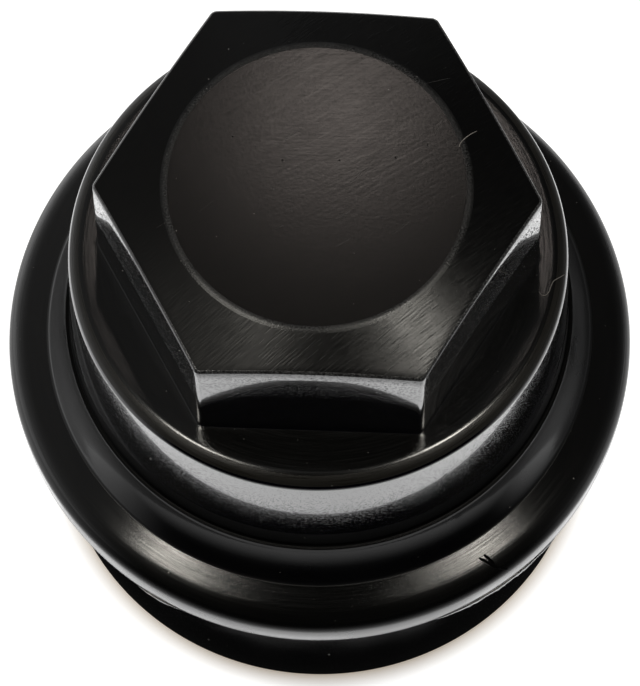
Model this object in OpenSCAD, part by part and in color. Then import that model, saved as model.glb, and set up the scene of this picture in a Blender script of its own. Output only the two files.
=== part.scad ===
// Wheel nut cover cap, moulded in one piece in gloss black plastic.
// Millimetres, +Z up. The origin is the centre of the skirt's rim, on the cap's axis.
// The hexagon's corners lie on the X axis.

/* [Skirt] */
// Outside diameter of the skirt
skirt_d = 31.8; // [30.5:0.1:33]
// Height of the skirt, from its rim to the underside of the flange
skirt_h = 13.8; // [11:0.1:16]
// Rounding of the rim's outer edge
rim_round = 0.3; // [0.1:0.05:0.6]

/* [Flange] */
// Diameter of the flange over its bead
flange_d = 36.7; // [35.5:0.1:38]
// Height of the bead's widest line above the flange's underside
bead_h = 1.65; // [1.2:0.05:2.2]
// Radius of the bead's crown, above its widest line
crown_r = 1.5; // [1:0.1:1.8]
// Radius of the bead's flank, below its widest line
flank_r = 13; // [8:0.5:20]
// Slope of the flange's top face, in degrees
flange_slope = 14; // [8:1:20]
// Diameter at which the flare meets the flange's top face
flare_d = 31.9; // [31.2:0.1:32.6]
// Radius of the flare's hollow curve, between the collar and the flange
flare_r = 8.3; // [5:0.1:16]

/* [Collar] */
// Outside diameter of the collar at its top
collar_d = 28.7; // [28:0.1:30]
// Draft of the collar's wall, in degrees
collar_draft = 1.5; // [0.5:0.1:2.5]
// Rounding of the collar's top edge
collar_round = 0.9; // [0.4:0.05:1.2]
// Height of the collar's top face above the skirt's rim
collar_top = 29.8; // [27:0.1:34]
// Width of the ledge at the foot of the collar's wall
ledge_w = 0.27; // [0.15:0.01:0.4]
// Height of the ledge above the skirt's rim
ledge_z = 20.2; // [19.4:0.1:21]

/* [Hexagon head] */
// Width across the hexagon's flats
hex_af = 22; // [20:0.1:23]
// Height of the hexagon, from the collar's top face to the disc
hex_h = 9.8; // [7:0.1:14]
// Rounding of the hexagon's upright edges
hex_edge_r = 0.45; // [0.2:0.05:1]
// Slope of the top face outside the disc, in degrees
top_slope = 15.7; // [5:0.1:25]
// Diameter of the level disc in the middle of the top
disc_d = 17.1; // [14:0.1:19]

/* [Inside] */
// Bore that grips the corners of the wheel nut
nut_bore_d = 24.3; // [23:0.1:25]
// Bore of the skirt, clear of the nut's washer
skirt_bore_d = 27.4; // [26:0.1:28.5]
// Depth of the skirt's bore
skirt_bore_h = 17; // [13:0.1:18]
// Thickness of the collar's top wall
shoulder_t = 2.2; // [1.5:0.1:3]
// Wall of the hexagon head, across the flats
hex_wall = 2.1; // [1.5:0.1:2.6]
// Thickness of the head's roof under the disc
roof_t = 2.1; // [1.2:0.1:3]
// Rounding of the corners inside the hexagon
core_edge_r = 1; // [0.4:0.1:2]

/* [Hidden] */
$fn = 96;
over = 1;
overall_h = collar_top + hex_h;
skirt_r = skirt_d / 2;
flange_r = flange_d / 2;
disc_r = disc_d / 2;
bead_z = skirt_h + bead_h;
crown_x = flange_r - crown_r;
flank_x = flange_r - flank_r;
flank_start = -asin(bead_h / flank_r);
collar_edge_z = collar_top - collar_round;
collar_edge_r = collar_d / 2;

// The flange's top face is tangent to the bead's crown and ends at the crease below the flare.
crown_end = 90 - flange_slope;
crown_top = [crown_x, bead_z] + crown_r * [cos(crown_end), sin(crown_end)];
crease = [flare_d / 2, crown_top.y + (crown_top.x - flare_d / 2) * tan(flange_slope)];

// The flare is an arc from the crease up to the ledge around the collar's foot.
function collar_r(z) = collar_edge_r + (collar_edge_z - z) * tan(collar_draft);
ledge = [collar_r(ledge_z) + ledge_w, ledge_z];
chord = ledge - crease;
flare_half = asin(norm(chord) / 2 / flare_r);
flare_tilt = atan2(-chord.x, chord.y);
flare_c = (ledge + crease) / 2 + flare_r * cos(flare_half) * [cos(flare_tilt), sin(flare_tilt)];

// Points on an arc about c, from one angle to another
arc_steps = 12;
function arc(c, r, from, to, steps = arc_steps, first = 0) = [
    for (i = [first : steps])
        let (a = from + (to - from) * i / steps)
        c + r * [cos(a), sin(a)]
];

// Skirt, flange, flare and collar in one outline, turned about the axis
module turned_body() {
    rotate(90) rotate_extrude() {
        polygon(concat(
            [[0, 0]],
            arc([skirt_r - rim_round, rim_round], rim_round, -90, 0, arc_steps / 3),
            [[skirt_r, skirt_h]],
            arc([flank_x, bead_z], flank_r, flank_start, 0, arc_steps / 2),
            arc([crown_x, bead_z], crown_r, 0, crown_end, first = 1),
            arc(flare_c, flare_r, 180 + flare_tilt + flare_half, 180 + flare_tilt - flare_half),
            [[collar_r(ledge_z), ledge_z]],
            arc([collar_edge_r - collar_round, collar_edge_z], collar_round, 0, 90),
            [[0, collar_top]]
        ));
    }
}

// Hexagonal prism with rounded upright edges, standing on z = 0
module rounded_hex(af, edge_r, h) {
    corner = (af / 2 - edge_r) / cos(30);
    linear_extrude(h) {
        polygon([
            for (turn = [0 : 60 : 300])
                each arc(corner * [cos(turn), sin(turn)], edge_r, turn - 30, turn + 30, arc_steps / 2)
        ]);
    }
}

// Everything under the level disc and the sloping face around it
module top_envelope() {
    outer_r = hex_af;
    drop = (outer_r - disc_r) * tan(top_slope);
    rotate(90) rotate_extrude() {
        polygon([
            [0, 0],
            [outer_r, 0],
            [outer_r, overall_h - drop],
            [disc_r, overall_h],
            [0, overall_h]
        ]);
    }
}

// Hexagon head with its sloping top and level disc
module hex_head() {
    intersection() {
        translate([0, 0, collar_top - over]) rounded_hex(hex_af, hex_edge_r, hex_h + over);
        top_envelope();
    }
}

// The stepped space inside: skirt bore, nut bore and the cored head
module inside() {
    core_h = overall_h - roof_t;
    translate([0, 0, -over]) cylinder(h = skirt_bore_h + over, d = skirt_bore_d);
    cylinder(h = collar_top - shoulder_t, d = nut_bore_d);
    rounded_hex(hex_af - 2 * hex_wall, core_edge_r, core_h);
}

module cap() {
    color([0.06, 0.06, 0.065]) {
        difference() {
            union() {
                turned_body();
                hex_head();
            }
            inside();
        }
    }
}

cap();
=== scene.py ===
"""The looks of the wheel nut cover cap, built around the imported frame.

Meshes, lamps and shader coordinates are in metres. The named sizes of the cap and of the marks on it
are in millimetres.
"""

import math
import random

import bpy
from mathutils import Matrix, Vector
from mathutils.bvhtree import BVHTree


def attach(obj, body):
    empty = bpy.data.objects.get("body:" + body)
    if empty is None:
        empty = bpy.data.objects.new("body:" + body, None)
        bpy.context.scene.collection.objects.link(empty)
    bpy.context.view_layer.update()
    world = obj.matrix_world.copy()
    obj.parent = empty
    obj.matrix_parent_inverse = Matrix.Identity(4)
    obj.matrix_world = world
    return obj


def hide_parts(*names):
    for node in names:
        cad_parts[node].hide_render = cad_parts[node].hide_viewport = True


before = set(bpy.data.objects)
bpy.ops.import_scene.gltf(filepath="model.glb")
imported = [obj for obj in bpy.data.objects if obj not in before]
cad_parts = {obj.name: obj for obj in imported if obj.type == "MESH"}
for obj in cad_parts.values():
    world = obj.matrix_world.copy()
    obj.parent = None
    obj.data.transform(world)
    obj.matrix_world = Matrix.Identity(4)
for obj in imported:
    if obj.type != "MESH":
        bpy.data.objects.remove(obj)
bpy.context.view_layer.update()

MM = 0.001

# Driving sizes of the cap, in millimetres, as in the part's own source
SKIRT_R = 15.9
SKIRT_H = 13.8
RIM_ROUND = 0.3
FLANGE_R = 18.35
BEAD_H = 1.65
BEAD_Z = SKIRT_H + BEAD_H
CROWN_R = 1.5
FLANK_R = 13.0
FLANGE_SLOPE = math.radians(14)
CREASE_R = 15.95
FLARE_R = 8.3
COLLAR_R = 14.35
COLLAR_DRAFT = math.radians(1.5)
COLLAR_ROUND = 0.9
COLLAR_TOP = 29.8
LEDGE_W = 0.27
LEDGE_Z = 20.2
HEX_AF = 22.0
HEX_H = 9.8
HEX_EDGE_R = 0.45
TOP_Z = COLLAR_TOP + HEX_H
TOP_SLOPE = math.radians(15.7)
DISC_R = 8.55
NUT_BORE_R = 12.15
SHOULDER_T = 2.2
NUT_BORE_TOP = COLLAR_TOP - SHOULDER_T
SKIRT_BORE_R = 13.7
SKIRT_BORE_H = 17.0
HEX_WALL = 2.1
ROOF_T = 2.1
CORE_AF = HEX_AF - 2 * HEX_WALL
CORE_TOP = TOP_Z - ROOF_T
CORE_EDGE_R = 1.0

# Small roundings that the moulding has: the head's top edge and foot, the corner under the flange
# and the rim's inner edge, the ridge around the disc, the ledge, the crease and the flange's lip
EDGE_FILLET = 0.20
FOOT_FILLET = 0.02
STEP_FILLET = 0.12
RIDGE_FILLET = 1.1
LEDGE_FILLET = 0.16
LEDGE_EDGE = 0.06
CREASE_FILLET = 0.3
LIP_FILLET = 0.04

# How high the disc's middle stands over its edge, and how far the worn zone reaches past the disc; its
# grey is partly wear and partly a painted highlight
DISC_CROWN = 0.05
RIDGE_WEAR_AND_HIGHLIGHT = 0.26

# Angles in degrees where a finish gives way to the next: on the bead's crown, and twice on the
# collar's rounded edge
CROWN_END = 35
GLOSS_START = 28
RING_START = 72

# Mesh steps around one sixth of a turn: across a rounded corner, and along half of a flat
CORNER_STEPS = 12
FLAT_STEPS = 36

# Mesh loops of the head: shares of the disc's radius, and distances in from the sloping face's edge.
# The loops turn hexagonal towards that edge: this far in from it, a loop would be round, with the
# radius at which the slope starts.
DISC_SHARES = (0.03, 0.1, 0.2, 0.3, 0.4, 0.5, 0.6, 0.7, 0.8, 0.9, 0.985)
SLOPE_INSETS = (2.0, 1.6, 1.2, 0.9, 0.6, 0.4, 0.25)
SLOPE_START = DISC_R + 0.35
SLOPE_REACH = 2.2

# The hexagon's outline: its smallest rounding, and the angles that one side and half a side take up
SHARPEST = 0.02
ONE_SIDE = math.radians(60)
HALF_SIDE = ONE_SIDE / 2

# Zones of the surface, each with its own finish
GLOSS, DISC, RIDGE, SLOPE, EDGE, HEX, TOP, FLARE, CROWN, RIM, SKIRT, INSIDE, RING, LEDGE = range(14)

# Small marks, read off the cap. An azimuth is in degrees, 0 at the camera's right and -90 in front.
# After it comes a radius on the top faces or a height on the walls, and for a speck or pit its size.
NICK_CUTS = (
    ((-54.7, 17.0), (-53.7, 17.5), (-52.7, 17.92), (-51.9, 18.12)),
    ((-53.5, 17.0), (-53.1, 17.4), (-52.75, 17.8)),
    ((-52.0, 18.02), (-51.4, 18.18), (-50.9, 18.26)),
)
# Raised threads along the nick; their grey is a painted glint
NICK_GLINT_LIFTS = (
    ((-53.3, 17.42), (-53.05, 17.65), (-52.85, 17.88)),
    ((-54.5, 17.25), (-53.7, 17.65)),
)
FIBRES = (
    ((18.4, 8.3), (19.8, 8.45), (21.2, 8.75), (22.3, 9.15), (23.0, 9.6)),
    (
        (-9.5, 12.87), (-10.3, 13.1), (-10.1, 13.3), (-9.0, 13.45),
        (-7.6, 13.5), (-6.1, 13.6), (-4.8, 13.9), (-3.6, 14.15),
    ),
)
SPECKS_ON_TOP = (
    (57.6, 7.08, 0.04), (122.7, 9.85, 0.035), (135.2, 8.95, 0.03), (151.2, 13.4, 0.03),
    (-43.3, 15.83, 0.035), (-29.8, 17.53, 0.04), (-118.0, 17.44, 0.035), (-159.0, 8.3, 0.03),
)
SPECKS_ON_WALLS = (
    (-112.9, 2.41, 0.05), (-86.0, 4.04, 0.05), (-164.5, 33.26, 0.035), (-129.6, 24.5, 0.06),
)
PITS = (
    (143.7, 2.47, 0.05), (52.6, 1.98, 0.055), (23.3, 4.72, 0.05), (24.0, 6.68, 0.045),
    (150.0, 5.6, 0.04),
)

# Fins of flash under the flange's lip: the azimuths between which each lies and how far it hangs,
# the lip's radius and height, how far a fin stands out and goes in, the bevel at its outer top edge
# (how wide it is, and the depths where it starts and ends), and the mesh steps a degree
FLASH_SPANS = ((-66.0, -38.5, 0.30), (-123.5, -114.5, 0.14), (-119.6, -117.6, 0.30))
FLASH_LIP = (18.25, 13.86)
FLASH_OUT = 0.08
FLASH_ROOT = 0.06
FLASH_BEVEL = (0.01, 0.03, 0.05)
FLASH_STEPS = 4

# Scattered dust: its sizes, the share on the top faces, how far out it lies there, and the heights
# between which it lies on the skirt and on the walls above the flange
DUST_COUNT = 110
DUST_SIZES = (0.010, 0.022)
DUST_ON_TOP = 0.6
DUST_REACH = 18.0
DUST_ON_SKIRT = (1, 13)
DUST_ON_WALLS = (21, 38)

# Hairlines on the head's top: how far out their middles lie, the mean and spread of their turn in
# degrees, half their length, and their radius
HAIRLINE_COUNT = 10
HAIRLINE_REACH = 9.6
HAIRLINE_TURN = (36, 16)
HAIRLINE_HALF = (0.25, 0.8)
HAIRLINE_R = 0.007
SEED = 7

# Camera, fitted to the photograph
CAMERA_ELEVATION = math.radians(69.28)
CAMERA_ROLL = math.radians(0.993)
CAMERA_TURN = math.radians(3.15)
CAMERA_DISTANCE = 0.400
CAMERA_AIM = (0.00002, -0.00942, TOP_Z * MM)
CAMERA_LENS = 378.06
CAMERA_CLIP = (0.01, 20.0)
SENSOR_SIDE = 36.0

# Soft boxes: name, azimuth and elevation in degrees, width and height in degrees as the cap sees
# them, radiance and colour. Azimuth 0 is the camera's side and 90 is its right.
LAMP_DISTANCE = 0.5
WARM = (1.0, 0.96, 0.87)
WARMER = (1.0, 0.88, 0.81)
LAMPS = (
    ("box_right", 78.5, 74, (7, 9), 31.0, WARM),
    ("box_left", -76, 73.5, (6, 9), 40.0, WARM),
    ("box_back", 178.8, 65.8, (3, 4), 10.5, WARMER),
)

# The floor, and what the cap's gloss sees of it: (distance from the axis in metres, radiance). The
# left and the back have the distances where their light begins and is full, and its radiance.
FLOOR_HALF = 0.6
FLOOR_WHITE = 0.9
FLOOR_GLOW = 0.85
# Close to the cap the radiance is nought: a painted shadow under the flange
FLOOR_SEEN = (
    (0.0160, 0.008), (0.0186, 0.0), (0.0200, 3.0), (0.0213, 2.4), (0.0225, 1.35), (0.0265, 1.25),
    (0.0285, 0.95), (0.0320, 0.55), (0.0380, 0.36), (0.0450, 0.10), (0.0500, 0.0),
)
FLOOR_SPAN = 0.06
FLOOR_RIGHT = (
    (0.028, 0.0), (0.032, 1.2), (0.05, 1.0), (0.08, 0.28), (0.12, 0.18), (0.30, 0.12),
)
FLOOR_RIGHT_SPAN = 0.3
FLOOR_LEFT = (0.028, 0.036, 1.3)
FLOOR_BACK = (0.025, 0.045, 2.0)

# The warm shade where the floor meets the skirt: how far it reaches, the open share of the sky at
# which it is full and gone, and its glow in red, green and blue
CONTACT_REACH = 0.0016
CONTACT_FROM = 0.50
CONTACT_TO = 0.88
CONTACT_SHADE = (0.33, 0.28, 0.22)

# The room seen in the gloss: dark in front, grey at the left, dim at the right, bright low behind.
# Each side has an azimuth, and the cosines where its light begins and is full. Each side's light has
# its radiance overhead, what the horizon adds, and the power by which that falls off upwards.
SIDE_LEFT = (-120, 0.20, 0.90)
SIDE_RIGHT = (115, 0.45, 0.85)
SIDE_BACK = (180, 0.87, 0.97)
ROOM_DARK = 0.01
ROOM_LEFT = (0.22, 0.66, 1.6)
ROOM_RIGHT = (0.05, 0.10, 1.6)
ROOM_BACK = (0.12, 4.0, 5.0)
ROOM_WHITE = 0.3

# The moulding's black, in linear red, green and blue
COOL_BLACK = (0.002, 0.002, 0.0035)
NEUTRAL_BLACK = (0.002, 0.002, 0.002)
WARM_BLACK = (0.002, 0.002, 0.0018)
DEEP_BLACK = (0.0015, 0.0015, 0.0015)

# Sizes of the finishes' noise, in cells a metre, and the range that most of a noise lies in
PATCHES = 260.0
SOFT_GRAIN = 5000.0
SATIN_GRAIN = 6000.0
MARK_GRAIN = 8000.0
HEX_GRAIN = 8500.0
FINE_GRAIN = 9000.0
WORN_GRAIN = 11000.0
NOISE_RANGE = (0.3, 0.7)

# Brush marks on the head's top: their turn in degrees, and noise cells a metre along and across them
DISC_LEVEL = (3, 700.0, 8500.0)
DISC_RISING = (33, 400.0, 5000.0)
SLOPE_RISING = (42, 900.0, 11000.0)

# Turned marks round the axis: noise cells a metre across them, and a radian along them
TURNED_ACROSS = 9500.0
TURNED_ALONG = 4.0

# Grains on the hexagon's faces: how far from the front face they begin and are full, and how far
# below the top they do
HEX_GRAINS_OFF_FRONT = (0.1, 0.6)
HEX_GRAINS_BELOW_TOP = (6.1, 0.6)

# Sides and steps of the tiny shapes, and the share of a thread's radius that is left at its tips
SPECK_SIDES = 8
SPECK_STEPS = 6
THREAD_SIDES = 7
THREAD_STEPS = 6
THREAD_TIP = 0.35


def add_mesh(name, verts, faces, smooth=True):
    """A new mesh object in the scene."""
    mesh = bpy.data.meshes.new(name)
    mesh.from_pydata(verts, [], faces)
    mesh.polygons.foreach_set("use_smooth", [smooth] * len(faces))
    mesh.update()
    piece = bpy.data.objects.new(name, mesh)
    bpy.context.scene.collection.objects.link(piece)
    return piece


def hex_corner(af, edge_r):
    """Distance from the axis to the centre of a corner's rounding."""
    return (af / 2 - edge_r) / math.cos(HALF_SIDE)


def hex_r(turn, af, edge_r):
    """Radius of a hexagon with rounded corners on the X axis, in one direction."""
    edge_r = max(edge_r, SHARPEST)
    off = (turn + HALF_SIDE) % ONE_SIDE - HALF_SIDE
    corner = hex_corner(af, edge_r)
    touch = math.atan2(edge_r * math.sin(HALF_SIDE), corner + edge_r * math.cos(HALF_SIDE))
    if abs(off) < touch:
        return corner * math.cos(off) + math.sqrt(edge_r**2 - (corner * math.sin(off)) ** 2)
    return af / 2 / math.cos(HALF_SIDE - abs(off))


def head_r(turn, inset):
    """Radius of the head's outline moved in, or out where inset is negative, in one direction."""
    return hex_r(turn, HEX_AF - 2 * inset, HEX_EDGE_R - inset)


def around():
    """Directions of the mesh's columns: close together at the hexagon's rounded corners."""
    corner = hex_corner(HEX_AF, HEX_EDGE_R)
    turns = []
    for k in range(CORNER_STEPS + 1):
        b = -HALF_SIDE + ONE_SIDE * k / CORNER_STEPS
        turns.append(math.atan2(HEX_EDGE_R * math.sin(b), corner + HEX_EDGE_R * math.cos(b)))
    end = turns[-1]
    far = ONE_SIDE - end
    for k in range(1, 2 * FLAT_STEPS):
        turns.append(end + (far - end) * k / (2 * FLAT_STEPS))
    return [t + ONE_SIDE * side for side in range(6) for t in turns]


def arc(cx, cz, r, start, end, steps):
    """Points on an arc of the section, by angle in degrees."""
    angles = [math.radians(start + (end - start) * i / steps) for i in range(steps + 1)]
    return [(cx + r * math.cos(a), cz + r * math.sin(a)) for a in angles]


def spread(a, b, steps):
    """Points between two points of the section, both ends left out."""
    return [
        (a[0] + (b[0] - a[0]) * i / steps, a[1] + (b[1] - a[1]) * i / steps)
        for i in range(1, steps)
    ]


def bend(before, corner, after, radius, steps):
    """A rounded corner of the section, between two of its straight or nearly straight runs."""
    corner = Vector(corner)
    into = (corner - Vector(before)).normalized()
    out = (Vector(after) - corner).normalized()
    turn = into.angle(out)
    side = 1 if into.x * out.y - into.y * out.x > 0 else -1
    start = corner - into * radius * math.tan(turn / 2)
    centre = start + Vector((-into.y, into.x)) * side * radius
    arm = start - centre
    points = []
    for i in range(steps + 1):
        a = turn * i / steps * side
        x = centre.x + arm.x * math.cos(a) - arm.y * math.sin(a)
        y = centre.y + arm.x * math.sin(a) + arm.y * math.cos(a)
        points.append((x, y))
    return points


def collar_r(z):
    """Radius of the collar's wall at one height."""
    return COLLAR_R + (COLLAR_TOP - COLLAR_ROUND - z) * math.tan(COLLAR_DRAFT)


def slope_z(r):
    """Height of the head's sloping face at one radius."""
    return TOP_Z - DISC_CROWN - (r - DISC_R) * math.tan(TOP_SLOPE)


def cone_end():
    """The point of the section where the flange's sloping top meets the bead's crown."""
    x = FLANGE_R - CROWN_R + CROWN_R * math.sin(FLANGE_SLOPE)
    return x, BEAD_Z + CROWN_R * math.cos(FLANGE_SLOPE)


def flare_arc():
    """The hollow arc from the ledge at the collar's foot down to the crease above the flange."""
    cone_x, cone_z = cone_end()
    crease = Vector((CREASE_R, cone_z + (cone_x - CREASE_R) * math.tan(FLANGE_SLOPE)))
    ledge = Vector((collar_r(LEDGE_Z) + LEDGE_W, LEDGE_Z))
    chord = ledge - crease
    half = math.asin(chord.length / 2 / FLARE_R)
    tilt = math.atan2(-chord.x, chord.y)
    toward_centre = Vector((math.cos(tilt), math.sin(tilt)))
    centre = (ledge + crease) / 2 + FLARE_R * math.cos(half) * toward_centre
    middle = 180 + math.degrees(tilt)
    start = middle - math.degrees(half)
    end = middle + math.degrees(half)
    return arc(centre.x, centre.y, FLARE_R, start, end, 20), ledge, crease


def round_loops():
    """Round loops from the collar's top edge down to the rim and up the bores: (zone, points)."""
    flare, ledge, crease = flare_arc()
    cone = cone_end()
    edge = (COLLAR_R, COLLAR_TOP - COLLAR_ROUND)
    collar_edge = (COLLAR_R - COLLAR_ROUND, edge[1], COLLAR_ROUND)
    foot = (collar_r(LEDGE_Z), LEDGE_Z)
    crown = (FLANGE_R - CROWN_R, BEAD_Z, CROWN_R)
    crown_top = 90 - math.degrees(FLANGE_SLOPE)
    flank_end = -math.degrees(math.asin(BEAD_H / FLANK_R))
    flank = arc(FLANGE_R - FLANK_R, BEAD_Z, FLANK_R, 0, flank_end, 7)
    skirt_top = (SKIRT_R, SKIRT_H)
    rim_out = (SKIRT_R, RIM_ROUND)
    rim_in = (SKIRT_BORE_R, 0.0)
    step_out = (SKIRT_BORE_R, SKIRT_BORE_H)
    step_in = (NUT_BORE_R, SKIRT_BORE_H)
    bore_top = (NUT_BORE_R, NUT_BORE_TOP)
    return [
        (TOP, arc(*collar_edge, 90, RING_START, 4)),
        (RING, arc(*collar_edge, RING_START, GLOSS_START, 8)[1:]),
        (GLOSS, arc(*collar_edge, GLOSS_START, 0, 8)[1:]),
        (GLOSS, spread(edge, foot, 10)[:-1]),
        (LEDGE, bend(edge, foot, ledge, LEDGE_FILLET, 5)),
        (LEDGE, bend(foot, ledge, flare[2], LEDGE_EDGE, 4)),
        (FLARE, flare[2:-2]),
        (FLARE, bend(flare[-3], crease, cone, CREASE_FILLET, 6)),
        (CROWN, spread(crease, cone, 8)[1:]),
        (CROWN, arc(*crown, crown_top, CROWN_END, 10)),
        (RIM, arc(*crown, CROWN_END, 0, 12)[1:]),
        (RIM, flank[1:-1]),
        (RIM, bend(flank[-2], flank[-1], skirt_top, LIP_FILLET, 4)),
        (SKIRT, spread(flank[-1], skirt_top, 4)),
        (SKIRT, bend(flank[-1], skirt_top, rim_out, STEP_FILLET, 4)),
        (SKIRT, spread(skirt_top, rim_out, 8)),
        (SKIRT, arc(SKIRT_R - RIM_ROUND, RIM_ROUND, RIM_ROUND, 0, -90, 6)),
        (INSIDE, bend((SKIRT_R, 0.0), rim_in, step_out, STEP_FILLET, 3)),
        (INSIDE, spread(rim_in, step_out, 8)),
        (INSIDE, [step_out]),
        (INSIDE, spread(step_out, step_in, 3)),
        (INSIDE, [step_in]),
        (INSIDE, spread(step_in, bore_top, 6)),
        (INSIDE, [bore_top]),
    ]


def slope_point(turn, inset):
    """A point of the sloping face, on a loop that is the more hexagonal the nearer it is to the edge."""
    edge = head_r(turn, EDGE_FILLET)
    r = edge + (SLOPE_START - edge) * inset / SLOPE_REACH
    return r, slope_z(r)


def edge_point(turn, lean):
    """A point on the rounding of the head's top edge. Lean is its angle: none at the upright face."""
    inset = EDGE_FILLET * (1 - math.cos(lean))
    centre_z = slope_z(head_r(turn, EDGE_FILLET)) - EDGE_FILLET / math.cos(TOP_SLOPE)
    return head_r(turn, inset), centre_z + EDGE_FILLET * math.sin(lean)


def disc_loops(count):
    """Loops over the disc and its ridge: (zone, [(r, z) per column])."""
    at_disc = (DISC_R, slope_z(DISC_R))
    at_flat = (HEX_AF / 2, slope_z(HEX_AF / 2))
    ridge = bend((0.0, at_disc[1]), at_disc, at_flat, RIDGE_FILLET, 8)
    ridge_zone_r = DISC_R + RIDGE_WEAR_AND_HIGHLIGHT
    points = [(DISC, (ridge[0][0] * share, TOP_Z - DISC_CROWN * share**2)) for share in DISC_SHARES]
    points.append((DISC, ridge[0]))
    points.extend((RIDGE, point) for point in ridge[1:])
    points.append((RIDGE, (ridge_zone_r, slope_z(ridge_zone_r))))
    return [(zone, [point] * count) for zone, point in points]


def head_loops(turns):
    """Loops from the disc's middle out to the collar's top face: (zone, [(r, z) per column])."""
    loops = disc_loops(len(turns))
    for inset in SLOPE_INSETS:
        loops.append((SLOPE, [slope_point(t, inset) for t in turns]))
    lean_at_slope = math.radians(90) - TOP_SLOPE
    edge_steps = 6
    for step in range(edge_steps + 1):
        lean = lean_at_slope * (1 - step / edge_steps)
        loops.append((EDGE if step else SLOPE, [edge_point(t, lean) for t in turns]))
    face_top = loops[-1][1]
    foot_z = COLLAR_TOP + FOOT_FILLET
    face_steps = 9
    for step in range(1, face_steps):
        share = step / face_steps
        loops.append((HEX, [(r, z + (foot_z - z) * share) for r, z in face_top]))
    for outset, z in arc(FOOT_FILLET, foot_z, FOOT_FILLET, 180, 270, 5):
        loops.append((HEX, [(head_r(t, -outset), z) for t in turns]))
    foot = [head_r(t, -FOOT_FILLET) for t in turns]
    edge = COLLAR_R - COLLAR_ROUND
    for share in (0.25, 0.5, 0.75):
        loops.append((TOP, [(r + (edge - r) * share, COLLAR_TOP) for r in foot]))
    return loops


def core_loops(turns):
    """Loops of the hexagonal space in the head, from the nut bore's roof to its own roof."""
    loops = []
    base = [hex_r(t, CORE_AF, CORE_EDGE_R) for t in turns]
    for share in (0.4, 0.75):
        roof = [(NUT_BORE_R + (r - NUT_BORE_R) * share, NUT_BORE_TOP) for r in base]
        loops.append((INSIDE, roof))
    wall_steps = 5
    for step in range(wall_steps + 1):
        z = NUT_BORE_TOP + (CORE_TOP - NUT_BORE_TOP) * step / wall_steps
        loops.append((INSIDE, [(r, z) for r in base]))
    for share in (0.7, 0.4, 0.12):
        loops.append((INSIDE, [(r * share, CORE_TOP) for r in base]))
    return loops


def build_cap():
    """The whole cap as one closed mesh: loops from the disc's middle, over the outside, to the core."""
    turns = around()
    count = len(turns)
    loops = head_loops(turns)
    for zone, points in round_loops():
        loops.extend((zone, [p] * count) for p in points)
    loops.extend(core_loops(turns))
    verts = [(0.0, 0.0, TOP_Z * MM)]
    for _, points in loops:
        for t, (r, z) in zip(turns, points):
            verts.append((r * math.cos(t) * MM, r * math.sin(t) * MM, z * MM))
    verts.append((0.0, 0.0, CORE_TOP * MM))
    faces = []
    zones = []
    for j in range(count):
        faces.append((0, 1 + j, 1 + (j + 1) % count))
        zones.append(DISC)
    for i in range(len(loops) - 1):
        upper = 1 + i * count
        lower = upper + count
        for j in range(count):
            k = (j + 1) % count
            faces.append((upper + j, lower + j, lower + k, upper + k))
            zones.append(loops[i + 1][0])
    last = 1 + (len(loops) - 1) * count
    for j in range(count):
        faces.append((last + j, len(verts) - 1, last + (j + 1) % count))
        zones.append(INSIDE)
    cap = add_mesh("cap_skin", verts, faces)
    cap.data.polygons.foreach_set("material_index", zones)
    return cap


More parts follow.
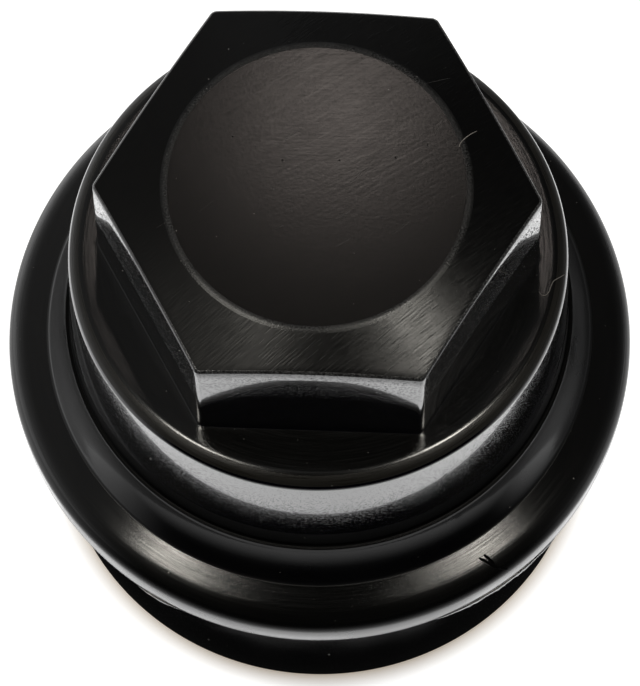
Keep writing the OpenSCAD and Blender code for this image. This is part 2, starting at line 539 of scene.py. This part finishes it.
class Nodes:
    """A small helper that adds shader nodes to a material or a world, and links them."""

    def __init__(self, owner):
        owner.use_nodes = True
        self.tree = owner.node_tree
        self.tree.nodes.clear()

    def add(self, kind, **settings):
        node = self.tree.nodes.new(kind)
        for name, value in settings.items():
            setattr(node, name, value)
        return node

    def link(self, source, target):
        self.tree.links.new(source, target)

    def feed(self, value, socket):
        """Sets a socket to a number, or links another node's output to it."""
        if isinstance(value, (int, float)):
            socket.default_value = value
        else:
            self.link(value, socket)

    def math(self, operation, a, b=0):
        node = self.add("ShaderNodeMath", operation=operation)
        for socket, value in zip(node.inputs, (a, b)):
            self.feed(value, socket)
        return node.outputs[0]

    def times(self, a, b):
        return self.math("MULTIPLY", a, b)

    def noise(self, vector, scale, detail=2.0):
        node = self.add("ShaderNodeTexNoise")
        node.inputs["Scale"].default_value = scale
        node.inputs["Detail"].default_value = detail
        self.link(vector, node.inputs["Vector"])
        return node.outputs["Fac"]

    def brushed(self, place, marks, detail):
        """Noise for brush marks: their turn in degrees, and cells a metre along and across them."""
        turn, along, across = marks
        node = self.add("ShaderNodeMapping", vector_type="TEXTURE")
        node.inputs["Rotation"].default_value = (0, 0, math.radians(turn))
        node.inputs["Scale"].default_value = (1 / along, 1 / across, 1)
        self.link(place, node.inputs["Vector"])
        return self.noise(node.outputs[0], 1.0, detail)

    def ramp(self, value, low, high, out_low, out_high, smooth=False):
        """A value between low and high turned into one between out_low and out_high."""
        node = self.add("ShaderNodeMapRange")
        node.interpolation_type = "SMOOTHSTEP" if smooth else "LINEAR"
        numbers = {"From Min": low, "From Max": high, "To Min": out_low, "To Max": out_high}
        for name, number in numbers.items():
            node.inputs[name].default_value = number
        self.link(value, node.inputs["Value"])
        return node.outputs["Result"]

    def vary(self, noise, low, high):
        """A noise turned into values from low to high."""
        return self.ramp(noise, *NOISE_RANGE, low, high)

    def curve(self, value, points, span):
        """A value looked up between a few points; span is the largest input."""
        top = max(v for _, v in points)
        node = self.add("ShaderNodeValToRGB")
        stops = node.color_ramp.elements
        while len(stops) > 1:
            stops.remove(stops[-1])
        for i, (at, level) in enumerate(points):
            stop = stops[0] if i == 0 else stops.new(at / span)
            stop.position = at / span
            stop.color = (level / top, level / top, level / top, 1)
        self.link(self.times(value, 1 / span), node.inputs["Fac"])
        return self.times(node.outputs["Color"], top)

    def split(self, vector):
        node = self.add("ShaderNodeSeparateXYZ")
        self.link(vector, node.inputs[0])
        return node.outputs["X"], node.outputs["Y"], node.outputs["Z"]

    def join(self, x, y, z):
        node = self.add("ShaderNodeCombineXYZ")
        for socket, value in zip(node.inputs, (x, y, z)):
            self.feed(value, socket)
        return node.outputs[0]

    def flat_length(self, x, y):
        squares = self.math("ADD", self.times(x, x), self.times(y, y))
        return self.math("SQRT", squares)


class Plastic:
    """One finish of the moulding: a shader whose roughness and bumps are added step by step."""

    def __init__(self, name, colour, ior=1.5, coat=0.0, coat_rough=0.03):
        self.material = bpy.data.materials.new(name)
        self.nodes = Nodes(self.material)
        self.place = self.nodes.add("ShaderNodeTexCoord").outputs["Object"]
        self.shader = self.nodes.add("ShaderNodeBsdfPrincipled")
        out = self.nodes.add("ShaderNodeOutputMaterial")
        self.nodes.link(self.shader.outputs[0], out.inputs["Surface"])
        self.shader.inputs["Base Color"].default_value = (*colour, 1.0)
        self.shader.inputs["IOR"].default_value = ior
        self.shader.inputs["Coat Weight"].default_value = coat
        self.shader.inputs["Coat Roughness"].default_value = coat_rough

    def rough(self, low, high):
        """Roughness that varies from patch to patch."""
        patch = self.nodes.noise(self.place, PATCHES, 3.0)
        self.nodes.link(self.nodes.vary(patch, low, high), self.shader.inputs["Roughness"])

    def bump(self, height, depth):
        """Adds a bump of a depth in millimetres over the bumps so far."""
        bump = self.nodes.add("ShaderNodeBump")
        bump.inputs["Strength"].default_value = 1.0
        bump.inputs["Distance"].default_value = depth * MM
        self.nodes.link(height, bump.inputs["Height"])
        before = self.shader.inputs["Normal"].links
        if before:
            self.nodes.link(before[0].from_socket, bump.inputs["Normal"])
        for name in ("Normal", "Coat Normal"):
            self.nodes.link(bump.outputs[0], self.shader.inputs[name])

    def grain(self, scale, depth):
        """Adds a fine even grain of a depth in millimetres."""
        self.bump(self.nodes.noise(self.place, scale), depth)


def collar_gloss():
    """Clean gloss with a few faint grains."""
    finish = Plastic("gloss_collar", COOL_BLACK, coat=1.0, coat_rough=0.02)
    nodes = finish.nodes
    finish.rough(0.07, 0.12)
    grains = nodes.ramp(nodes.noise(finish.place, FINE_GRAIN, 1.0), 0.55, 0.75, 0.0, 1.0)
    finish.bump(grains, 0.0018)
    return finish.material


def hexagon_gloss():
    """Gloss with sparse fine grains, most under the side faces' top edge and almost none in front."""
    finish = Plastic("gloss_hexagon", COOL_BLACK, ior=1.6, coat=1.0)
    nodes = finish.nodes
    finish.rough(0.08, 0.14)
    grains = nodes.ramp(nodes.noise(finish.place, HEX_GRAIN, 0.0), 0.58, 0.66, 0.0, 1.0)
    _, y, z = nodes.split(finish.place)
    back = [(off - HEX_AF / 2) * MM for off in HEX_GRAINS_OFF_FRONT]
    up = [(TOP_Z - below) * MM for below in HEX_GRAINS_BELOW_TOP]
    share = nodes.times(nodes.ramp(y, *back, 0.05, 1.0), nodes.ramp(z, *up, 0.01, 1.2, True))
    finish.bump(nodes.times(grains, share), 0.10)
    return finish.material


def satin_disc():
    """Satin with fine brush marks, level at the back and rising to the right across the middle."""
    finish = Plastic("satin_disc", (0.003, 0.0027, 0.0023), ior=1.34)
    nodes = finish.nodes
    level = nodes.brushed(finish.place, DISC_LEVEL, 3.0)
    rising = nodes.brushed(finish.place, DISC_RISING, 4.0)
    streaks = nodes.times(nodes.vary(level, 0.92, 1.08), nodes.vary(rising, 0.90, 1.10))
    nodes.link(nodes.times(streaks, 0.15), finish.shader.inputs["Roughness"])
    _, y, _ = nodes.split(finish.place)
    at_back = nodes.ramp(y, 0.0, 0.005, 0.0, 1.0, True)
    past_middle = nodes.ramp(y, -0.004, 0.002, 0.15, 1.0, True)
    finish.bump(nodes.times(level, at_back), 0.0020)
    finish.bump(nodes.times(rising, past_middle), 0.0016)
    finish.grain(SATIN_GRAIN, 0.0015)
    return finish.material


def satin_slope():
    """Satin with fine brush marks that rise to the right, duller at the left, where its lowered shine is
    a painted shade.
    """
    finish = Plastic("satin_slope", NEUTRAL_BLACK, ior=1.27)
    nodes = finish.nodes
    rising = nodes.brushed(finish.place, SLOPE_RISING, 2.0)
    x, _, _ = nodes.split(finish.place)
    rough = nodes.ramp(x, -0.007, 0.001, 0.42, 0.23, True)
    # Less shine towards the left: painted shade on that side
    shine = nodes.ramp(x, -0.008, 0.003, 0.36, 0.72, True)
    streaked = nodes.math("ADD", rough, nodes.vary(rising, -0.05, 0.05))
    nodes.link(streaked, finish.shader.inputs["Roughness"])
    nodes.link(shine, finish.shader.inputs["Specular IOR Level"])
    finish.bump(rising, 0.008)
    finish.grain(SATIN_GRAIN, 0.002)
    return finish.material


def worn_and_highlit_edge(name, rough, grey, ior, ridge_r=None):
    """An edge rubbed dull: spots of grey in the black, partly wear and partly a painted highlight. On a
    round ridge they fade to both sides.
    """
    finish = Plastic(name, (grey, grey, grey), ior)
    nodes = finish.nodes
    finish.rough(rough - 0.06, rough + 0.06)
    spots = nodes.noise(finish.place, WORN_GRAIN, 1.0)
    # Grey tint: partly rubbed wear, partly a painted highlight along the edge
    tint = nodes.ramp(spots, 0.40, 0.75, grey * 0.4, grey * 4.0)
    if ridge_r:
        x, y, _ = nodes.split(finish.place)
        from_ridge = nodes.math("SUBTRACT", nodes.flat_length(x, y), ridge_r * MM)
        off = nodes.math("ABSOLUTE", from_ridge)
        tint = nodes.times(tint, nodes.ramp(off, 0.00002, RIDGE_WEAR_AND_HIGHLIGHT * MM, 1.0, 0.1, True))
    nodes.link(nodes.join(tint, tint, tint), finish.shader.inputs["Base Color"])
    finish.bump(spots, 0.006)
    return finish.material


def turned(name, rough, depth, across, ior=1.5, grain=0.0015, colour=WARM_BLACK):
    """Satin with marks of turning round the axis. Rough is its lowest and highest roughness, across
    spreads the shine across the marks, and depth and grain are depths in millimetres."""
    finish = Plastic(name, colour, ior)
    nodes = finish.nodes
    inputs = finish.shader.inputs
    x, y, z = nodes.split(finish.place)
    across_marks = nodes.times(nodes.math("SUBTRACT", nodes.flat_length(x, y), z), TURNED_ACROSS)
    along_marks = nodes.times(nodes.math("ARCTAN2", y, x), TURNED_ALONG)
    marks = nodes.noise(nodes.join(across_marks, along_marks, 0.0), 1.0, 4.0)
    nodes.link(nodes.vary(marks, *rough), inputs["Roughness"])
    tangent = nodes.add("ShaderNodeTangent", direction_type="RADIAL", axis="Z")
    nodes.link(tangent.outputs[0], inputs["Tangent"])
    inputs["Anisotropic"].default_value = across
    inputs["Anisotropic Rotation"].default_value = 0.25
    finish.bump(marks, depth)
    finish.grain(FINE_GRAIN, grain)
    return finish.material


def satin_flare():
    finish = Plastic("satin_flare", (0.0015, 0.0015, 0.002), coat=0.6, coat_rough=0.06)
    finish.rough(0.26, 0.34)
    finish.grain(SATIN_GRAIN, 0.001)
    return finish.material


def satin_rim():
    finish = Plastic("satin_rim", NEUTRAL_BLACK, ior=1.33)
    finish.rough(0.22, 0.30)
    finish.grain(FINE_GRAIN, 0.0015)
    return finish.material


def dusty_shaded_ledge():
    # Dull and weakly reflecting: partly dust in the step, partly painted shade
    finish = Plastic("dusty_shaded_ledge", DEEP_BLACK, ior=1.15)
    finish.rough(0.30, 0.40)
    finish.grain(FINE_GRAIN, 0.002)
    return finish.material


def gloss_skirt():
    finish = Plastic("gloss_skirt", DEEP_BLACK, coat=0.3, coat_rough=0.08)
    finish.rough(0.14, 0.22)
    finish.grain(SOFT_GRAIN, 0.001)
    return finish.material


def matt_inside():
    finish = Plastic("matt_inside", (0.009, 0.009, 0.009))
    finish.rough(0.35, 0.45)
    finish.grain(SOFT_GRAIN, 0.002)
    return finish.material


def spotted(name, colour, rough, variation, ior=1.5):
    """A dull finish for the marks, whose tone varies from spot to spot by a share."""
    finish = Plastic(name, colour, ior)
    nodes = finish.nodes
    finish.rough(rough - 0.08, rough + 0.08)
    spots = nodes.noise(finish.place, MARK_GRAIN)
    tones = [nodes.vary(spots, c * (1 - variation), c * (1 + variation)) for c in colour]
    nodes.link(nodes.join(*tones), finish.shader.inputs["Base Color"])
    finish.bump(spots, 0.004)
    return finish.material


def finish_cap(cap):
    """Gives each zone of the skin its finish."""
    # The collar's rounded edge is tinted brown as a painted sheen
    painted_sheen_tint = (0.009, 0.008, 0.006)
    finishes = {
        GLOSS: collar_gloss(),
        DISC: satin_disc(),
        # The ridge and the head's top edge get grey spots, partly wear and partly a painted highlight
        RIDGE: worn_and_highlit_edge("worn_and_highlit_ridge", 0.28, 0.014, 1.4, DISC_R),
        SLOPE: satin_slope(),
        EDGE: worn_and_highlit_edge("worn_and_highlit_edge", 0.22, 0.02, 2.0),
        HEX: hexagon_gloss(),
        TOP: turned("turned_collar_top", (0.13, 0.19), 0.005, 0.3, ior=1.55),
        RING: turned("turned_collar_edge_painted_sheen", (0.24, 0.42), 0.010, 0.9, grain=0.012, colour=painted_sheen_tint),
        FLARE: satin_flare(),
        CROWN: turned("turned_crown", (0.14, 0.24), 0.011, 0.9, grain=0.0006),
        RIM: satin_rim(),
        SKIRT: gloss_skirt(),
        INSIDE: matt_inside(),
        LEDGE: dusty_shaded_ledge(),
    }
    for zone in sorted(finishes):
        cap.data.materials.append(finishes[zone])


class Surface:
    """Finds places on the finished skin, for the marks that lie on it."""

    def __init__(self, cap):
        corners = [v.co for v in cap.data.vertices]
        self.tree = BVHTree.FromPolygons(corners, [f.vertices for f in cap.data.polygons])

    def top(self, azimuth, r):
        """Place and normal of the skin straight below, at an azimuth and a radius."""
        a = math.radians(azimuth)
        start = Vector((r * math.cos(a), r * math.sin(a), TOP_Z + 5)) * MM
        return self.tree.ray_cast(start, Vector((0, 0, -1)))[:2]

    def wall(self, azimuth, z):
        """Place and normal of the skin as seen from outside, at an azimuth and a height."""
        a = math.radians(azimuth)
        out = Vector((math.cos(a), math.sin(a), 0))
        start = (out * (FLANGE_R + 5) + Vector((0, 0, z))) * MM
        return self.tree.ray_cast(start, -out)[:2]


class Heap:
    """Gathers many tiny closed shapes into one mesh."""

    def __init__(self):
        self.verts = []
        self.faces = []

    def loft(self, rings):
        """Joins closed rings of equal length, and closes both ends."""
        base = len(self.verts)
        count = len(rings[0])
        for ring in rings:
            self.verts.extend(ring)
        for i in range(len(rings) - 1):
            for j in range(count):
                k = (j + 1) % count
                a = base + i * count
                self.faces.append((a + j, a + k, a + count + k, a + count + j))
        last = base + (len(rings) - 1) * count
        self.faces.append(tuple(base + j for j in reversed(range(count))))
        self.faces.append(tuple(last + j for j in range(count)))

    def speck(self, place, normal, size, flat=0.6, long=1.0):
        """A grain half sunk in the surface; long stretches it down the wall."""
        if abs(normal.z) > 0.9:
            side = normal.orthogonal().normalized()
        else:
            side = normal.cross(Vector((0, 0, 1))).normalized()
        up = side.cross(normal)
        turns = [math.tau * k / SPECK_SIDES for k in range(SPECK_SIDES)]
        rings = []
        for step in range(1, SPECK_STEPS):
            a = math.pi * step / SPECK_STEPS
            height = math.cos(a) * size * flat
            r = math.sin(a) * size
            rings.append([
                place + (normal * height + side * r * math.cos(b) + up * r * long * math.sin(b)) * MM
                for b in turns
            ])
        self.loft(rings)

    def thread(self, path, normals, radius, lift):
        """A tapered thread along a path on the surface."""
        turns = [math.tau * k / THREAD_SIDES for k in range(THREAD_SIDES)]
        rings = []
        last = len(path) - 1
        for i, place in enumerate(path):
            along = (path[min(i + 1, last)] - path[max(i - 1, 0)]).normalized()
            side = along.cross(normals[i]).normalized()
            swell = math.sin(math.pi * i / last) ** 0.4
            r = radius * (THREAD_TIP + (1 - THREAD_TIP) * swell) * MM
            middle = place + normals[i] * lift * MM
            rings.append([
                middle + side * r * math.cos(b) + normals[i] * r * math.sin(b)
                for b in turns
            ])
        self.loft(rings)

    def build(self, name, material):
        piece = add_mesh(name, self.verts, self.faces)
        piece.data.materials.append(material)
        return piece


def smooth_path(points, steps):
    """Points on a smooth line through a few points."""
    ends = [points[0]] + list(points) + [points[-1]]
    path = []
    for i in range(1, len(ends) - 2):
        p0, p1, p2, p3 = (Vector(p) for p in ends[i - 1 : i + 3])
        for k in range(steps):
            t = k / steps
            square = (2 * p0 - 5 * p1 + 4 * p2 - p3) * t**2
            cube = (3 * p1 - p0 - 3 * p2 + p3) * t**3
            path.append(0.5 * (2 * p1 + (p2 - p0) * t + square + cube))
    return path + [Vector(points[-1])]


def lay_thread(heap, surface, points, radius, lift=0.0):
    """A thread on the top faces, through points of azimuth and radius."""
    hits = [surface.top(azimuth, r) for azimuth, r in smooth_path(points, THREAD_STEPS)]
    heap.thread([h[0] for h in hits], [h[1] for h in hits], radius, lift)


def build_flash(heap, rng):
    """Thin jagged fins of moulding flash under the flange's lip."""
    lip_r, lip_z = FLASH_LIP
    bevel_w, bevel_start, bevel_end = FLASH_BEVEL
    for start, end, depth in FLASH_SPANS:
        steps = int(abs(end - start) * FLASH_STEPS)
        rings = []
        ragged = 0.0
        for i in range(steps + 1):
            fade = math.sin(math.pi * i / steps) ** 0.5
            ragged = 0.6 * ragged + 0.4 * rng.uniform(-1, 1)
            inner = lip_r - FLASH_ROOT
            out = lip_r + FLASH_OUT * fade * (1 + 0.15 * ragged)
            low = lip_z - bevel_end - depth * fade * (1 + 0.5 * ragged)
            a = math.radians(start + (end - start) * i / steps)
            section = (
                (inner, lip_z),
                (out - bevel_w, lip_z - bevel_start),
                (out, lip_z - bevel_end),
                (out, low),
                (inner, low),
            )
            rings.append([Vector((r * math.cos(a), r * math.sin(a), z)) * MM for r, z in section])
        heap.loft(rings)


def scatter_dust(heap, surface, rng):
    """Dust all over the cap's outside."""
    for _ in range(DUST_COUNT):
        azimuth = rng.uniform(-180, 180)
        size = rng.uniform(*DUST_SIZES)
        if rng.random() < DUST_ON_TOP:
            place, normal = surface.top(azimuth, DUST_REACH * math.sqrt(rng.random()))
        else:
            height = rng.choice((rng.uniform(*DUST_ON_SKIRT), rng.uniform(*DUST_ON_WALLS)))
            place, normal = surface.wall(azimuth, height)
        heap.speck(place, normal, size)


def scratch(heap, surface, rng):
    """Hairlines on the head's top, most of them rising to the right."""
    for _ in range(HAIRLINE_COUNT):
        azimuth = math.radians(rng.uniform(-180, 180))
        r = HAIRLINE_REACH * math.sqrt(rng.random())
        middle = Vector((r * math.cos(azimuth), r * math.sin(azimuth)))
        turn = math.radians(rng.gauss(*HAIRLINE_TURN))
        half = Vector((math.cos(turn), math.sin(turn))) * rng.uniform(*HAIRLINE_HALF)
        points = []
        for share in (-1, -0.3, 0.4, 1):
            place = middle + half * share
            points.append((math.degrees(math.atan2(place.y, place.x)), place.length))
        azimuths = [p[0] for p in points]
        # A hairline close to the axis, or across the azimuth of 180 degrees, is left out
        if max(azimuths) - min(azimuths) < 90:
            lay_thread(heap, surface, points, HAIRLINE_R)


def build_marks(cap):
    """Nick, flash, fibres, specks, pits and hairlines, each kind in one mesh."""
    rng = random.Random(SEED)
    surface = Surface(cap)
    dark, light, flash, fibres, dust = (Heap() for _ in range(5))
    for cut in NICK_CUTS:
        lay_thread(dark, surface, cut, radius=0.11, lift=-0.03)
    for azimuth, r, size in PITS:
        dark.speck(*surface.top(azimuth, r), size, flat=0.15)
    for lift in NICK_GLINT_LIFTS:
        lay_thread(light, surface, lift, radius=0.035)
    scratch(light, surface, rng)
    build_flash(flash, rng)
    for fibre in FIBRES:
        lay_thread(fibres, surface, fibre, radius=0.025, lift=0.04)
    for azimuth, r, size in SPECKS_ON_TOP:
        dust.speck(*surface.top(azimuth, r), size)
    for azimuth, z, size in SPECKS_ON_WALLS:
        dust.speck(*surface.wall(azimuth, z), size, flat=0.5, long=1.6)
    scatter_dust(dust, surface, rng)
    torn_black = spotted("torn_black", (0.001, 0.001, 0.001), 0.7, 0.3, 1.15)
    # One grey for the nick's lifted threads, where it is a painted glint, and for the hairlines, where
    # it is the scratches' own tone
    glint_and_scratch_grey = spotted("glint_and_scratch_grey", (0.05, 0.047, 0.045), 0.30, 0.5)
    # The flash's grey, lighter than the cap's black, is a painted highlight along the lip
    flash_painted_highlight = spotted("flash_painted_highlight", (0.012, 0.012, 0.013), 0.20, 0.5, 1.7)
    fibre_grey = spotted("fibre_grey", (0.25, 0.23, 0.21), 0.7, 0.3)
    dust_grey = spotted("dust_grey", (0.34, 0.33, 0.31), 0.8, 0.4)
    return [
        dark.build("nick_and_pits", torn_black),
        light.build("glint_lifts_and_hairlines", glint_and_scratch_grey),
        flash.build("flash", flash_painted_highlight),
        fibres.build("fibres", fibre_grey),
        dust.build("dust", dust_grey),
    ]


def build_camera():
    """Looks at the fitted aim point, with the photograph's turn and roll."""
    e, roll = CAMERA_ELEVATION, CAMERA_ROLL
    forward = Vector((0, math.cos(e), -math.sin(e)))
    side = Vector((1, 0, 0))
    down = forward.cross(side)
    right = math.cos(roll) * side + math.sin(roll) * down
    below = -math.sin(roll) * side + math.cos(roll) * down
    place = Vector(CAMERA_AIM) - forward * CAMERA_DISTANCE
    axes = Matrix((right, -below, -forward)).transposed().to_4x4()
    data = bpy.data.cameras.new("camera")
    data.lens = CAMERA_LENS
    data.sensor_width = SENSOR_SIDE
    data.clip_start, data.clip_end = CAMERA_CLIP
    camera = bpy.data.objects.new("camera", data)
    bpy.context.scene.collection.objects.link(camera)
    camera.matrix_world = Matrix.Rotation(CAMERA_TURN, 4, "Z") @ Matrix.Translation(place) @ axes
    bpy.context.scene.camera = camera


def toward(nodes, place, azimuth, begins, full):
    """From 0 to 1, how much a place or direction lies towards one side; azimuth 0 is in front."""
    x, y, _ = nodes.split(place)
    a = math.radians(azimuth)
    along = nodes.math("SUBTRACT", nodes.times(x, math.sin(a)), nodes.times(y, math.cos(a)))
    length = nodes.math("MAXIMUM", nodes.flat_length(x, y), 0.0001)
    return nodes.ramp(nodes.math("DIVIDE", along, length), begins, full, 0.0, 1.0, True)


def floor_for_camera(nodes, camera_ray):
    """White, with a warm shade at the skirt and the cap's shadow. Matt surfaces see it too."""
    open_sky = nodes.add("ShaderNodeAmbientOcclusion")
    open_sky.inputs["Distance"].default_value = CONTACT_REACH
    clear = nodes.ramp(open_sky.outputs["AO"], CONTACT_FROM, CONTACT_TO, 0.0, 1.0)
    tones = [nodes.ramp(clear, 0.0, 1.0, shade, FLOOR_GLOW) for shade in CONTACT_SHADE]
    glow = nodes.add("ShaderNodeEmission")
    nodes.link(nodes.join(*tones), glow.inputs["Color"])
    nodes.link(camera_ray, glow.inputs["Strength"])
    diffuse = nodes.add("ShaderNodeBsdfDiffuse")
    diffuse.inputs["Color"].default_value = (FLOOR_WHITE, FLOOR_WHITE, FLOOR_WHITE, 1)
    both = nodes.add("ShaderNodeAddShader")
    nodes.link(glow.outputs[0], both.inputs[0])
    nodes.link(diffuse.outputs[0], both.inputs[1])
    return both.outputs[0]


def floor_for_gloss(nodes):
    """The floor as the cap's gloss sees it: lit in rings around the cap, and at three sides."""
    place = nodes.add("ShaderNodeTexCoord").outputs["Object"]
    x, y, _ = nodes.split(place)
    away = nodes.flat_length(x, y)
    left_from, left_to, left = FLOOR_LEFT
    back_from, back_to, back = FLOOR_BACK
    sides = (
        (SIDE_LEFT, nodes.ramp(away, left_from, left_to, 0.0, left, True)),
        (SIDE_RIGHT, nodes.curve(away, FLOOR_RIGHT, FLOOR_RIGHT_SPAN)),
        (SIDE_BACK, nodes.ramp(away, back_from, back_to, 0.0, back, True)),
    )
    seen = nodes.curve(away, FLOOR_SEEN, FLOOR_SPAN)
    for side, level in sides:
        seen = nodes.math("MAXIMUM", seen, nodes.times(toward(nodes, place, *side), level))
    mirrored = nodes.add("ShaderNodeEmission")
    nodes.link(seen, mirrored.inputs["Strength"])
    return mirrored.outputs[0]


def build_floor():
    """White floor for the camera, which the cap's gloss sees as the studio lights it."""
    half = FLOOR_HALF
    corners = [(-half, -half, 0), (half, -half, 0), (half, half, 0), (-half, half, 0)]
    floor = add_mesh("floor", corners, [(0, 1, 2, 3)], smooth=False)
    material = bpy.data.materials.new("floor_white")
    nodes = Nodes(material)
    light = nodes.add("ShaderNodeLightPath")
    mixed = nodes.add("ShaderNodeMixShader")
    nodes.link(light.outputs["Is Glossy Ray"], mixed.inputs[0])
    nodes.link(floor_for_camera(nodes, light.outputs["Is Camera Ray"]), mixed.inputs[1])
    nodes.link(floor_for_gloss(nodes), mixed.inputs[2])
    out = nodes.add("ShaderNodeOutputMaterial")
    nodes.link(mixed.outputs[0], out.inputs["Surface"])
    floor.data.materials.append(material)


def build_lamp(name, azimuth, elevation, size, radiance, colour):
    """A soft box in a direction from the cap, turned with the camera."""
    a = math.radians(azimuth) + CAMERA_TURN
    e = math.radians(elevation)
    aim = Vector((0, 0, TOP_Z * MM))
    to_lamp = Vector((math.sin(a) * math.cos(e), -math.cos(a) * math.cos(e), math.sin(e)))
    data = bpy.data.lights.new(name, "AREA")
    data.shape = "RECTANGLE"
    data.size = 2 * LAMP_DISTANCE * math.tan(math.radians(size[0] / 2))
    data.size_y = 2 * LAMP_DISTANCE * math.tan(math.radians(size[1] / 2))
    data.energy = radiance * math.pi * data.size * data.size_y
    data.color = colour
    lamp = bpy.data.objects.new(name, data)
    bpy.context.scene.collection.objects.link(lamp)
    lamp.location = aim + LAMP_DISTANCE * to_lamp
    lamp.rotation_euler = (-to_lamp).to_track_quat("-Z", "Y").to_euler()


def build_room():
    """White for the camera, a plain level for matt surfaces, and the dark studio for the gloss."""
    world = bpy.data.worlds.new("studio")
    bpy.context.scene.world = world
    nodes = Nodes(world)
    place = nodes.add("ShaderNodeTexCoord").outputs["Generated"]
    _, _, z = nodes.split(place)
    low = nodes.math("SUBTRACT", 1.0, nodes.math("MAXIMUM", z, 0.0))
    room = ROOM_DARK
    sides = ((SIDE_LEFT, ROOM_LEFT), (SIDE_RIGHT, ROOM_RIGHT), (SIDE_BACK, ROOM_BACK))
    for side, (overhead, rise, fall) in sides:
        glow = nodes.math("ADD", nodes.times(nodes.math("POWER", low, fall), rise), overhead)
        room = nodes.math("MAXIMUM", nodes.times(toward(nodes, place, *side), glow), room)
    light = nodes.add("ShaderNodeLightPath")
    seen = nodes.add("ShaderNodeMix", data_type="FLOAT")
    nodes.link(light.outputs["Is Glossy Ray"], seen.inputs[0])
    seen.inputs[2].default_value = ROOM_WHITE
    nodes.link(room, seen.inputs[3])
    strength = nodes.add("ShaderNodeMix", data_type="FLOAT")
    nodes.link(light.outputs["Is Camera Ray"], strength.inputs[0])
    nodes.link(seen.outputs[0], strength.inputs[2])
    strength.inputs[3].default_value = 1.0
    background = nodes.add("ShaderNodeBackground")
    nodes.link(strength.outputs[0], background.inputs["Strength"])
    out = nodes.add("ShaderNodeOutputWorld")
    nodes.link(background.outputs[0], out.inputs["Surface"])


build_camera()
build_floor()
for lamp in LAMPS:
    build_lamp(*lamp)
build_room()
cap = build_cap()
finish_cap(cap)
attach(cap, "root")
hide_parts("cap")
for mark in build_marks(cap):
    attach(mark, "root")

scene = bpy.context.scene
scene.view_settings.view_transform = "Standard"
